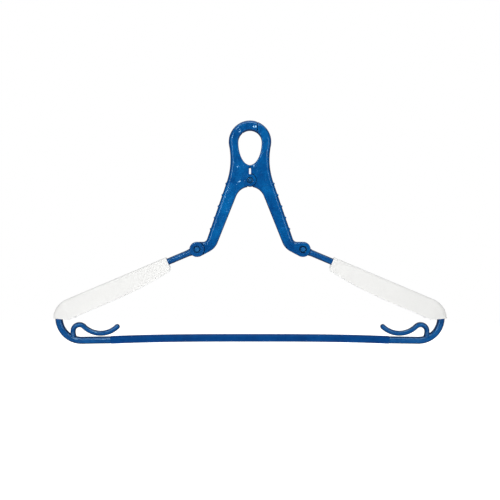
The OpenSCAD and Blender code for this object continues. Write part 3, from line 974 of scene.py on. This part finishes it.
def make_bar():
    """One springy tube, bowed a little upwards at rest, with its end edges taken off."""
    path = bar_path()
    last = len(path) - 1
    sides = 48
    tangents = [(path[min(i + 1, last)] - path[max(i - 1, 0)]).normalized() for i in range(last + 1)]
    stations = list(zip(path, tangents))
    first_p, first_t = stations[0]
    last_p, last_t = stations[-1]
    rows = [(first_p, first_t, BAR_R - BAR_LIP), (first_p + first_t * BAR_LIP, first_t, BAR_R)]
    rows += [(p, t, BAR_R) for p, t in stations[1:-1]]
    rows += [(last_p - last_t * BAR_LIP, last_t, BAR_R), (last_p, last_t, BAR_R - BAR_LIP)]
    rows += [(p, t, BAR_BORE_R) for p, t in reversed(stations)]
    verts = []
    for p, t, r in rows:
        across = Vector((-t.y, t.x))
        for j in range(sides):
            a = 2 * math.pi * j / sides
            q = p + across * (r * math.cos(a))
            verts.append((q.x, r * math.sin(a), q.y))
    bar = outward(new_object("springy_bar", verts, ring_faces(len(rows), sides, closed_rows=True)))
    finish_surface(bar)
    dress(bar, BAR_PLASTIC)
    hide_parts("bar_left_half", "bar_right_half")
    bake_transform(bar)


# ---------------------------------------------------------------- stage

def make_stage():
    """A plain pale floor under the hanger. It glows a little, fades into the white room, and is clear from
    underneath."""
    low = cad_box[0].z - FLOOR_DROP
    rings, sides = 12, 64
    verts = [(0, 0, low)]
    for i in range(1, rings + 1):
        for j in range(sides):
            d = toward(360 * j / sides) * FLOOR_R * i / rings
            verts.append((d.x, d.y, low))
    faces = [(0, 1 + j, 1 + (j + 1) % sides) for j in range(sides)]
    faces += [tuple(1 + v for v in reversed(f)) for f in ring_faces(rings, sides)]
    floor = new_object("pale_floor", verts, faces)
    floor.visible_glossy = False
    mat = bpy.data.materials.new("pale_floor")
    mat.use_nodes = True
    tree = mat.node_tree
    shader = tree.nodes["Principled BSDF"]
    shader.inputs["Base Color"].default_value = (0.9, 0.9, 0.9, 1)
    shader.inputs["Roughness"].default_value = 0.9
    shader.inputs["Specular IOR Level"].default_value = 0.1
    shader.inputs["Emission Color"].default_value = (1, 1, 1, 1)
    place = node_at(tree, "ShaderNodeTexCoord", -800, 0)
    level = node_at(tree, "ShaderNodeVectorMath", -600, 0, operation="MULTIPLY")
    level.inputs[1].default_value = (1, 1, 0)
    reach = node_at(tree, "ShaderNodeVectorMath", -400, 0, operation="LENGTH")
    fade = ranged(tree, -200, 0, FLOOR_R * FLOOR_FADE_START, FLOOR_R, 1.0, 0.0)
    fade.interpolation_type = "SMOOTHSTEP"
    tree.links.new(place.outputs["Object"], level.inputs[0])
    tree.links.new(level.outputs["Vector"], reach.inputs[0])
    tree.links.new(reach.outputs["Value"], fade.inputs["Value"])
    side = node_at(tree, "ShaderNodeNewGeometry", -400, 300)
    seen_from_above = node_at(tree, "ShaderNodeMath", -200, 300, operation="SUBTRACT", use_clamp=True)
    tree.links.new(fade.outputs["Result"], seen_from_above.inputs[0])
    tree.links.new(side.outputs["Backfacing"], seen_from_above.inputs[1])
    tree.links.new(seen_from_above.outputs["Value"], shader.inputs["Alpha"])
    glow_from, glow_to = FLOOR_GLOW_SPAN
    glow = ranged(tree, -200, -300, FLOOR_R * glow_from, FLOOR_R * glow_to, FLOOR_GLOW, 1.0)
    tree.links.new(reach.outputs["Value"], glow.inputs["Value"])
    tree.links.new(glow.outputs["Result"], shader.inputs["Emission Strength"])
    floor.data.materials.append(mat)


def soft_light(name, place, size, power, target=(0, 0, -0.1)):
    data = bpy.data.lights.new(name, "AREA")
    data.shape = "RECTANGLE"
    data.size, data.size_y = size
    data.energy = power
    light = bpy.data.objects.new(name, data)
    light.location = place
    light.rotation_euler = (Vector(target) - Vector(place)).to_track_quat("-Z", "Y").to_euler()
    bpy.context.scene.collection.objects.link(light)


def make_room():
    """A room that is white to look at, as in a cut-out catalogue picture, and dim in the reflections."""
    world = bpy.data.worlds.new("studio")
    world.use_nodes = True
    tree = world.node_tree
    dim = tree.nodes["Background"]
    dim.inputs["Color"].default_value = (1, 1, 1, 1)
    dim.inputs["Strength"].default_value = 0.07
    white = node_at(tree, "ShaderNodeBackground", 0, -200, Color=(1, 1, 1, 1), Strength=1.0)
    path = node_at(tree, "ShaderNodeLightPath", 0, 300)
    mix = node_at(tree, "ShaderNodeMixShader", 250, 0)
    tree.links.new(path.outputs["Is Camera Ray"], mix.inputs[0])
    tree.links.new(dim.outputs[0], mix.inputs[1])
    tree.links.new(white.outputs[0], mix.inputs[2])
    tree.links.new(mix.outputs[0], tree.nodes["World Output"].inputs["Surface"])
    bpy.context.scene.world = world


def make_lights():
    soft_light("left", (-0.66, -1.02, 0.15), size=(0.30, 0.6), power=2.2)
    soft_light("right", (0.62, -1.05, 0.05), size=(0.22, 0.6), power=1.5)
    soft_light("top", (0, -0.75, 0.9), size=(0.9, 0.32), power=4.4)
    soft_light("window", (-0.28, -1.15, 0.28), size=(0.13, 0.13), power=1.1)
    soft_light("overhead", (0, 0.2, 1.5), size=(3.4, 1.0), power=20, target=(0, 0.3, -0.3))
    soft_light("back", (0.3, 1.3, 0.3), size=(1.2, 0.8), power=3)


make_camera()
make_levers()
make_pins()
make_arms()
make_covers()
make_corners()
make_bar()
make_stage()
make_room()
make_lights()
bpy.context.scene.view_settings.view_transform = "Standard"
